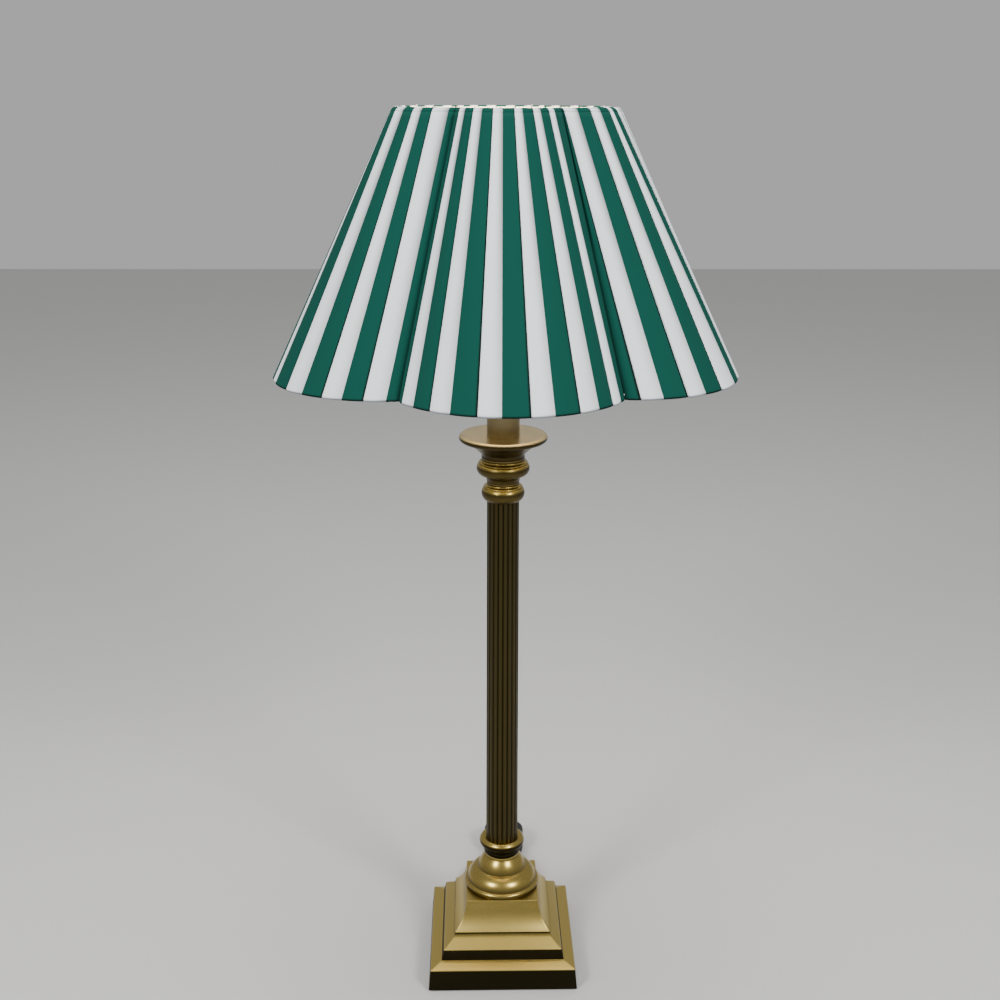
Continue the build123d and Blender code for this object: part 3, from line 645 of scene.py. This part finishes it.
column = grown("column_reeded", reeded_tree(shaded_column_brass), COLUMN_SHARP)
stands_for(column, "stand", ["reeded_column"])
place = np.array([v.co[:] for v in column.data.vertices])
up = (place[:, 2] - COLUMN_LOW) / (COLUMN_HIGH - COLUMN_LOW)
reach = np.linalg.norm(place[:, :2], axis=1) / (COLUMN_LOW_R + (COLUMN_HIGH_R - COLUMN_LOW_R) * up)
BROWN_SHARE = 0.95
set_number(column.data, "wear_and_sheen", np.clip((reach - BROWN_SHARE) / (1 - BROWN_SHARE), 0, 1))
print("column polygons", len(column.data.polygons), "radius", round(float(reach.max()), 3))

# %% [markdown]
# ## The shape of the shade
# Seen from above the shade has six lobes. Each lobe is an arc between two creases, which lie at the same share of
# the lobe's reach on both rings, and straight threads of cloth run from one ring to the other. A place on the shade
# is a share of the way round and a height, so every soft piece of the shade asks the same helper where that is.

# %% Lobed surface
LOBES = 6
LOBE_TURN = 1.0
CREASE = 0.84
BOTTOM = {"z": 573.5, "lobe": 199.0}
TOP = {"z": 779.0, "lobe": 94.0}


def rim(ring, share, inset):
    """Plan position and outward direction on one ring, for shares of the way round."""
    lobe, crease = ring["lobe"] - inset, CREASE * ring["lobe"] - inset
    half = crease * math.sin(math.pi / LOBES)
    sag = lobe - crease * math.cos(math.pi / LOBES)
    radius = (half * half + sag * sag) / (2 * sag)
    reach = np.arcsin(half / radius)
    index = np.floor(share * LOBES)
    middle = math.radians(-90 + LOBE_TURN) + index * math.tau / LOBES
    angle = middle + (share * LOBES - index - 0.5) * 2 * reach
    outward = np.stack([np.cos(angle), np.sin(angle)], -1)
    centre = np.stack([np.cos(middle), np.sin(middle)], -1) * (lobe - radius)
    return centre + outward * radius, outward


def shade_points(share_low, share_high, height, inset=0.0, lift=0.0):
    """Points in millimetres on the shade wall at one height, moved out by lift."""
    low, out_low = rim(BOTTOM, share_low, inset)
    high, out_high = rim(TOP, share_high, inset)
    up = (height - BOTTOM["z"]) / (TOP["z"] - BOTTOM["z"])
    plan = low + (high - low) * up + (out_low + (out_high - out_low) * up) * np.asarray(lift)[..., None]
    return np.concatenate([plan, np.full((len(plan), 1), height)], -1)


print("shade from", BOTTOM["z"], "to", TOP["z"], "mm")

# %% [markdown]
# ## Stripes and pleats
# The cloth has 72 stripes, 36 green and 36 white, and a green one lies in each crease. It was gathered by hand, so
# the stripes are uneven. Each one that shows in the photograph was judged against an even stripe and given one
# of eight named widths, a letter each; a fixed seed varies the others a little. The letters of a lobe share out the
# way from crease to crease, and the first and last are the parts of the two crease stripes that lie in that lobe.
# Each white stripe stands up over the green one on its left and slopes down to the next, as a knife pleat. Two white
# ones at the left outline are pressed flat, so that they don't show past the green one in front of them.

# %% Where the stripes lie
STRIPES = 72
PER_LOBE = STRIPES // LOBES
LOBE_LOW, LOBE_HIGH = 210.7, 99.5
THIN, HALF, NARROW, SLIM, EVEN, BROAD, WIDE, DOUBLE = 0.15, 0.5, 0.7, 0.85, 1.0, 1.2, 1.5, 2.0
WIDTHS = {"t": THIN, "h": HALF, "n": NARROW, "s": SLIM, "e": EVEN, "b": BROAD, "w": WIDE, "d": DOUBLE}
LEFT, FRONT, RIGHT = -1, 0, 1
SEEN_LOW = {LEFT: "heeeenwbbeeeh", FRONT: "hseebebebeenh", RIGHT: "nebebwbnnsssh"}
SEEN_HIGH = {LEFT: "hnnnetdbbsewh", FRONT: "enesesenenenw", RIGHT: "tbbebheeeeeeh"}
PRESSED_FLAT = [-9, -7]
FLAT_DEPTH = 0.05
UNSEEN_VARIES = 0.08
DEPTH_LEAST, DEPTH_MOST = 0.7, 1.25
FIRST_STRIPE = LEFT * PER_LOBE + 1
SEED = 7
chance = np.random.default_rng(SEED)


def lobe_edges(lobe, seen):
    """Stripe edges in one lobe, counted in even stripes from the crease in front."""
    if lobe in seen:
        widths = np.array([WIDTHS[letter] for letter in seen[lobe]])
    else:
        widths = EVEN + chance.uniform(-UNSEEN_VARIES, UNSEEN_VARIES, PER_LOBE + 1)
        widths[[0, -1]] *= HALF
    return lobe * PER_LOBE + np.cumsum(widths)[:-1] * PER_LOBE / widths.sum()


def stripe_edges(seen):
    """Shares of the way round at which the stripes begin, with the end of the last one."""
    edges = np.concatenate([lobe_edges(lobe, seen) for lobe in range(LEFT, LEFT + LOBES)])
    return np.append(edges, edges[0] + STRIPES) / STRIPES


ACROSS = np.array([0.0, 0.03, 0.09, 0.2, 0.36, 0.5, 0.66, 0.82, 0.94, 1.0])
WHITE_PLEAT = np.array([-0.5, 0.55, 0.95, 1.1, 1.1, 1.0, 0.75, 0.4, 0.1, 0.0])
GREEN_PLEAT = np.array([0.0, 0.05, 0.15, 0.25, 0.3, 0.3, 0.2, 0.05, -0.25, -0.5])
CENTRE = 5
EDGE_GAP = 0.002
CREASE_PLEAT, CREASE_PINCH = 0.3, 1.6
edges_low, edges_high = stripe_edges(SEEN_LOW), stripe_edges(SEEN_HIGH)
numbers = np.arange(STRIPES) + FIRST_STRIPE
in_crease = numbers % PER_LOBE == 0


def stripe_shares(edges):
    """Shares across every stripe; the middle column of a stripe in a crease lies in the fold."""
    start, end = edges[:-1, None], edges[1:, None]
    middle = (start + end) / 2
    middle[in_crease] = numbers[in_crease, None] / STRIPES
    half = ACROSS[None] * 2
    first, second = start + (middle - start) * half, middle + (end - middle) * (half - 1)
    return np.where(half <= 1, first, second).ravel()


share_low, share_high = stripe_shares(edges_low), stripe_shares(edges_high)
is_white_stripe = numbers[:, None] % 2 == 1
count_across = (is_white_stripe + np.clip(ACROSS, EDGE_GAP, 1 - EDGE_GAP)[None]).ravel()
depth = chance.uniform(DEPTH_LEAST, DEPTH_MOST, (STRIPES, 1))
depth[np.isin(numbers, PRESSED_FLAT)] = FLAT_DEPTH
pleat = np.where(is_white_stripe, WHITE_PLEAT[None] * depth, GREEN_PLEAT[None])
fold = np.zeros((STRIPES, len(ACROSS)))
fold[in_crease, CENTRE] = 1
pleat = np.where(in_crease[:, None], pleat * CREASE_PLEAT - CREASE_PINCH * fold, pleat).ravel()
fold = fold.ravel()
print("stripes", STRIPES, "columns", len(share_low), "creases", int(in_crease.sum()))

# %% [markdown]
# ## One helper for every ring of cloth
# The cover, its rolled edges and the lining are all rings of cloth: a path of heights and insets gives the rows, and
# the shares give the columns. The cover's edges roll round the wire rings, so cover and edges share the same columns
# and meet without a seam.


# %% Rings of cloth
PUCKER_TOP, PUCKER_FADE = 576, 7
PUCKER_NARROW = 30
PUCKER_DEPTH, PUCKER_WAVES = 0.8, 1.6
OFF_THE_WIRE = 0.25
CLOTH_SHARP = 40


def cloth_ring(name, path, paint, thickness, node, relief=1.0):
    """A ring of cloth along a path of (height, inset) in millimetres, puckered by the creases at the hem."""
    from_crease = (share_low * LOBES + 0.5) % 1 - 0.5
    waves = np.sin(share_low * LOBES * LOBE_LOW * PUCKER_WAVES)
    rows = []
    for height, inset in path:
        pucker = np.exp(-max(height - PUCKER_TOP, 0) / PUCKER_FADE - (from_crease * PUCKER_NARROW) ** 2)
        lift = (pleat + pucker * PUCKER_DEPTH * waves) * relief + OFF_THE_WIRE
        rows.append(shade_points(share_low, share_high, height, inset, lift))
    grid = np.stack(rows)
    count, columns = grid.shape[:2]
    faces = grid_faces(count, columns, count - 1)
    v = np.array([height for height, _ in path]) * MM
    uv = np.stack(np.broadcast_arrays(count_across[None, :], v[:, None]), -1).reshape(-1, 2)
    numbers = {"fold": np.tile(fold, count)}
    made = piece_from(name, grid.reshape(-1, 3), faces, paint, CLOTH_SHARP, numbers, uv)
    wall = made.modifiers.new("wall", "SOLIDIFY")
    wall.thickness = thickness * MM
    wall.offset = -1
    stands_for(made, "shade", [node])
    return made


print("cloth helper ready")

# %% [markdown]
# ## Striped cloth
# The colour is read from the piece's own UV map, whose first number counts the stripes, so the pattern follows the
# cloth wherever it goes. The shadow lines at the pleat edges are painted too, because the gap they stand for is
# thinner than the mesh: a narrow one at a green stripe's right edge, a soft one across the right of a white stripe,
# which grows stronger upwards, and one in each crease, which grows weaker. A fine weave breaks up the surface.

# %% Cloth materials
GREEN = (0.0030, 0.066, 0.048)
WHITE = (0.87, 0.91, 0.93)
# Darker copies of the green and the white for the roll under the bottom ring: painted shade on its underside.
SHADED_HEM_GREEN = (0.001, 0.012, 0.010)
SHADED_HEM_WHITE = (0.24, 0.26, 0.28)
DEEP_SHADOW = (0.003, 0.004, 0.004)
PALE_LINING = (0.80, 0.77, 0.68)
UPPER_FROM, UPPER_FULLY = 0.575, 0.74
LINE_FROM, LINE_FULLY, LINE_DARK = 0.90, 0.955, 0.9
SOFT_FROM, SOFT_BEND, SOFT_LOW, SOFT_GAIN = 0.4, 1.7, 0.28, 0.47
FOLD_BEND, FOLD_LOW, FOLD_LOSS = 2.0, 0.6, 0.4
WEAVE_SCALE, LINING_SCALE, CLOUD_SCALE = 900.0, 700.0, 22.0
WEAVE_TONE, CLOUD_TONE = 0.10, 0.10
WEAVE_DEPTH = 0.00005


def striped(name, green, white):
    """Cloth whose UV u counts stripes, green below 1 and white above, and whose v is the height."""
    paint, tree, shader = new_paint(name, roughness=0.9)
    shader.inputs["Specular IOR Level"].default_value = 0.12
    uv = add_node(tree, "ShaderNodeUVMap", {"uv_map": "UVMap"})
    u = add_node(tree, "ShaderNodeSeparateXYZ", None, {0: uv})
    v = add_node(tree, "ShaderNodeSeparateXYZ", None, {0: uv}, output=Y_OUTPUT)
    upper = v.between(UPPER_FROM, UPPER_FULLY)
    fold = add_node(tree, "ShaderNodeAttribute", {"attribute_name": "fold"}, output=FACTOR_OUTPUT)
    is_white = u > 1.0
    is_green = 1 - is_white
    across = u % 1.0
    line = across.between(LINE_FROM, LINE_FULLY) * is_green
    soft = across.between(SOFT_FROM, 1.0) ** SOFT_BEND * is_white * (SOFT_LOW + upper * SOFT_GAIN)
    hollow = fold**FOLD_BEND * is_green * (FOLD_LOW - upper * FOLD_LOSS)
    shadow = (1 - line * LINE_DARK) * (1 - soft) * (1 - hollow)
    weave = noise(tree, object_place(tree), WEAVE_SCALE, 1.0)
    cloudy = noise(tree, object_place(tree), CLOUD_SCALE, 2.0)
    tone = shadow * ((1 - WEAVE_TONE) + weave * WEAVE_TONE + cloudy * CLOUD_TONE)
    cloth = blend_color(tree, is_white, green, white)
    feed(tree, shader, "Base Color", blend_color(tree, tone, DEEP_SHADOW, cloth))
    bump(tree, shader, weave, WEAVE_DEPTH, 0.35)
    return paint


cover_cloth = striped("cover_cloth", GREEN, WHITE)
shaded_hem_cloth = striped("shaded_hem_cloth", SHADED_HEM_GREEN, SHADED_HEM_WHITE)
lining_cloth, lining_tree, lining_shader = new_paint("lining_cloth", PALE_LINING, 0.9)
lining_weave = noise(lining_tree, object_place(lining_tree), LINING_SCALE, 1.0)
bump(lining_tree, lining_shader, lining_weave, WEAVE_DEPTH, 0.4)
print("cloth materials made")

# %% [markdown]
# ## Cover, rolled edges and lining
# The striped cover is pulled down between the two rings, and its edges roll over the ring wires to the inside; the
# roll under the bottom ring is drawn in darker stripes as painted shade. The lining is one smooth pale ring of cloth
# just inside the frame, which throws the bulb's light down.

# %% Cover, hems and lining
HEM_LINE = 575.0
ROLL_LINE = 775.6
COVER_THICK, EDGE_THICK, LINING_THICK = 0.9, 0.8, 0.6
LINING_LOW, LINING_HIGH, LINING_INSET = 576, 771, 6.4
wall_heights = [HEM_LINE, 576, 577.5, 580, 584, 590, 600, *np.linspace(615, 760, 10), 768, 772, ROLL_LINE]
wall_path = [(z, 0) for z in wall_heights]
hem_path = [
    (582, 5.3),
    (577, 5.2),
    (574.8, 4.9),
    (573.9, 4.0),
    (573.55, 2.6),
    (573.7, 1.1),
    (574.2, 0.3),
    (HEM_LINE, 0),
]
roll_path = [
    (ROLL_LINE, 0),
    (776.9, 0.25),
    (778.0, 0.9),
    (778.6, 1.9),
    (778.7, 3.0),
    (778.1, 4.2),
    (776, 5.0),
    (770, 5.2),
]
lining_path = [(z, LINING_INSET) for z in np.linspace(LINING_LOW, LINING_HIGH, 8)]
cover = cloth_ring("striped_cover", wall_path, cover_cloth, COVER_THICK, "shade_cover")
# The roll under the bottom ring uses the darker stripes, painted shade on its underside.
hem_low = cloth_ring("hem_low", hem_path, shaded_hem_cloth, EDGE_THICK, "shade_bottom_trim")
hem_high = cloth_ring("hem_high", roll_path, cover_cloth, EDGE_THICK, "shade_top_trim")
lining = cloth_ring("lining", lining_path, lining_cloth, LINING_THICK, "shade_lining", 0.0)
print("cover polygons", len(cover.data.polygons))

# %% [markdown]
# ## How the cloth was cut
# The cover was a flat strip before it was gathered on to the rings: its long side went round the bottom ring, and
# the spare width at the top ring went into the pleats. The lining is stretched over the same frame.

# %% [markdown]
# ## Bulb and lampholder
# The lamp is lit in the photograph. The bulb is a frosted one with a bayonet cap, so its glass simply glows, and a
# warm light inside the shade lights the pan and the stem.

# %% Bulb
glow, _, glow_shader = new_paint("bulb_glass", (0.95, 0.92, 0.86), 0.4)
BULB_GLOW, BULB_STRENGTH = (1.0, 0.80, 0.55, 1), 3.0
glow_shader.inputs["Emission Color"].default_value = BULB_GLOW
glow_shader.inputs["Emission Strength"].default_value = BULB_STRENGTH
BULB_R = 30.0
BULB_Z = 709.0
GLASS_THICK = 0.9
NECK_ANGLE = math.radians(40)
side, drop = BULB_R * math.cos(NECK_ANGLE), BULB_R * math.sin(NECK_ANGLE)
bulb_outline = trace(
    (10.0, 656.0),
    [
        ((10.9, 656.0),),
        ((11.3, 670.0),),
        ((12.0, 674.9), (13.7, 678.6)),
        ((side, BULB_Z - drop),),
        ((BULB_R, BULB_Z), (0.01, BULB_Z + BULB_R)),
        ((0.01, BULB_Z + BULB_R - GLASS_THICK),),
        ((BULB_R - GLASS_THICK, BULB_Z), (side - 0.69, BULB_Z - drop + 0.58)),
        ((12.95, 679.2),),
        ((11.15, 675.3), (10.4, 670.2)),
        ((10.0, 656.0),),
    ],
    1.5,
)
bulb = run_round("bulb_envelope", bulb_outline, circle_ring(64), glow, "bulb", "bulb_glass")
print("bulb polygons", len(bulb.data.polygons))

# %% [markdown]
# ## The hidden and plain pieces
# What is plain in shape keeps its CAD mesh and only gets a finish: the weight, rod, nut, grip, lampholder and frame.

# %% Finishes for plain pieces
felt, felt_tree, felt_shader = new_paint("felt", (0.02, 0.06, 0.035), 0.95)
felt_nap = noise(felt_tree, object_place(felt_tree), 1500.0, 2.0)
bump(felt_tree, felt_shader, felt_nap, 0.0002, 0.6)
iron = new_paint("iron", (0.05, 0.05, 0.05), 0.7, 0.6)[0]
steel = new_paint("steel", (0.60, 0.60, 0.58), 0.35, 1.0)[0]
porcelain = new_paint("porcelain", (0.82, 0.80, 0.74), 0.2)[0]
white_wire = new_paint("white_wire", (0.80, 0.80, 0.76), 0.4)[0]
brass_wire = new_paint("brass_wire", (0.62, 0.47, 0.22), 0.3, 1.0)[0]
aluminium = new_paint("aluminium", (0.75, 0.75, 0.74), 0.3, 1.0)[0]
black_sheath = new_paint("black_sheath", (0.012, 0.012, 0.012), 0.45)[0]
black_plug = new_paint("black_plug", (0.015, 0.015, 0.016), 0.4)[0]
bright_pins = new_paint("bright_pins", (0.78, 0.70, 0.48), 0.22, 1.0)[0]
dark_bar = new_paint("dark_bar", (0.03, 0.02, 0.015), 0.25)[0]
FINISH = {
    "felt_pad": felt,
    "base_weight": iron,
    "base_washer": steel,
    "base_nut": steel,
    "cord_grip": steel,
    "grip_screws": steel,
    "threaded_rod": steel,
    "candle_cap": holder_brass,
    "holder_cap": holder_brass,
    "holder_barrel": holder_brass,
    "holder_core": porcelain,
    "shade_clamp_rings": holder_brass,
    "contact_plungers": bright_pins,
    "bulb_cap": aluminium,
    "switch_bar": dark_bar,
    "carrier_plate": brass_wire,
    "shade_carrier": brass_wire,
    "shade_spider": white_wire,
    "shade_top_ring": white_wire,
    "shade_bottom_ring": white_wire,
    "shade_struts": white_wire,
    "inner_flex": black_sheath,
    "cord_gland": black_sheath,
    "hank_tie": black_plug,
    "plug_body": black_plug,
    "plug_pins": bright_pins,
}
for node, paint in FINISH.items():
    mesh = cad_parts[node].data
    mesh.materials.clear()
    mesh.materials.append(paint)
print("plain pieces", len(FINISH))

# %% [markdown]
# ## The flex
# Only a short bump of the black flex shows, behind the column. The rest is put away as a tied hank behind the base,
# with the plug on it. The flex is one NURBS line through listed points: a spline bends as a real sheath does, while
# straight runs with small arcs would look like wire.

# %% Flex and hank
FLEX_R = 3.0
HANK_X = 6.0
FAR_Y, NEAR_Y = 167.0, 93.0
FOLD = 18.0
LAYER, LAYERS = 6.5, 4
GLAND_Z, PLUG_Z = 11.5, 32.7


def fold_points(side, y, z, way):
    """Two points that carry the flex round a half turn, from one side of the hank to the other."""
    return [(HANK_X + side * FOLD, y + way * FOLD, z), (HANK_X - side * FOLD, y + way * FOLD, z)]


route = [(-34, 90, GLAND_Z), (-34, 113, GLAND_Z), (-12, 138, FLEX_R)]
for layer in range(LAYERS):
    low = FLEX_R + LAYER * layer
    high = low + LAYER
    route += fold_points(-1, FAR_Y, low, 1)
    if layer < LAYERS - 1:
        middle = (low + high) / 2
        route += [(24, 156, low), (9.3, 141, middle), (9.3, 119, middle), (24, 104, high)]
        route += fold_points(1, NEAR_Y, high, -1)
        route += [(-12, 104, high), (2.7, 119, high), (2.7, 141, high), (-12, 156, high)]
route += [(24, 154.5, low), (HANK_X, 140.5, PLUG_Z), (HANK_X, 122, PLUG_Z)]
line = bpy.data.curves.new("flex", "CURVE")
line.dimensions = "3D"
spline = line.splines.new("NURBS")
spline.points.add(len(route) - 1)
for point, spot in zip(spline.points, route):
    point.co = (*(Vector(spot) * MM), 1)
spline.order_u = 3
spline.use_endpoint_u = True
spline.resolution_u = 6
line.bevel_depth = FLEX_R * MM
line.bevel_resolution = 4
line.use_fill_caps = True
line.materials.append(black_sheath)
flex = put_in_scene("flex", line)
print("flex hand points", len(route))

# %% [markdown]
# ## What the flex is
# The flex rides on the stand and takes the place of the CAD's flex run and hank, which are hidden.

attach(flex, "stand")
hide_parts("cord_run", "cord_hank")

# %% [markdown]
# ## Floor and light
# A plain pale floor and soft light keep the eye on the lamp. Two soft lights in front, left and right, give the
# pairs of highlights on the turned rings, a larger one hangs overhead, and the warm bulb lights the pan from above.
# What the metal mirrors is pale above and dark below, with a soft step between them a little under the horizon.


# %% Floor, lights and world
floor_paint = new_paint("floor", (0.62, 0.62, 0.61), 0.9)[0]
floor_corners = [(-5000, -4000, 0), (5000, -4000, 0), (5000, 5000, 0), (-5000, 5000, 0)]
floor = piece_from("floor", floor_corners, [(0, 1, 2, 3)], floor_paint)


def soft_light(name, place, target, size, power):
    """A square soft light that faces a target; places in metres."""
    lamp = bpy.data.lights.new(name, "AREA")
    lamp.size = size
    lamp.energy = power
    made = put_in_scene(name, lamp)
    made.location = place
    made.rotation_euler = (Vector(target) - Vector(place)).to_track_quat("-Z", "Y").to_euler()


FRONT_SIZE, FRONT_POWER, FRONT_TARGET = 0.42, 20, (0, 0, 0.35)
TOP_SIZE, TOP_POWER, TOP_TARGET = 1.6, 24, (0, 0, 0.3)
soft_light("light_left", (-1.02, -1.18, 1.45), FRONT_TARGET, FRONT_SIZE, FRONT_POWER)
soft_light("light_right", (0.98, -1.22, 1.45), FRONT_TARGET, FRONT_SIZE, FRONT_POWER)
soft_light("light_top", (0.0, 0.2, 2.4), TOP_TARGET, TOP_SIZE, TOP_POWER)
warm = bpy.data.lights.new("bulb_light", "POINT")
warm.energy = 2.1
warm.color = (1.0, 0.80, 0.56)
warm.shadow_soft_size = 0.03
put_in_scene("bulb_light", warm).location = (0, 0, 0.755)
world = bpy.data.worlds.new("studio")
bpy.context.scene.world = world
world.use_nodes = True
GROUND_BELOW, SKY_ABOVE = -0.24, -0.16
GROUND_COLOR, SKY_COLOR, SKY_STRENGTH = (0.015, 0.015, 0.015), (0.80, 0.80, 0.80), 0.55
sky_tree = world.node_tree
sky = sky_tree.nodes["Background"]
look = add_node(sky_tree, "ShaderNodeTexCoord", output=GENERATED_OUTPUT)
height = add_node(sky_tree, "ShaderNodeSeparateXYZ", None, {0: look}, output=Z_OUTPUT)
feed(sky_tree, sky, "Color", blend_color(sky_tree, height.between(GROUND_BELOW, SKY_ABOVE), GROUND_COLOR, SKY_COLOR))
sky.inputs["Strength"].default_value = SKY_STRENGTH
print("lights and world made")
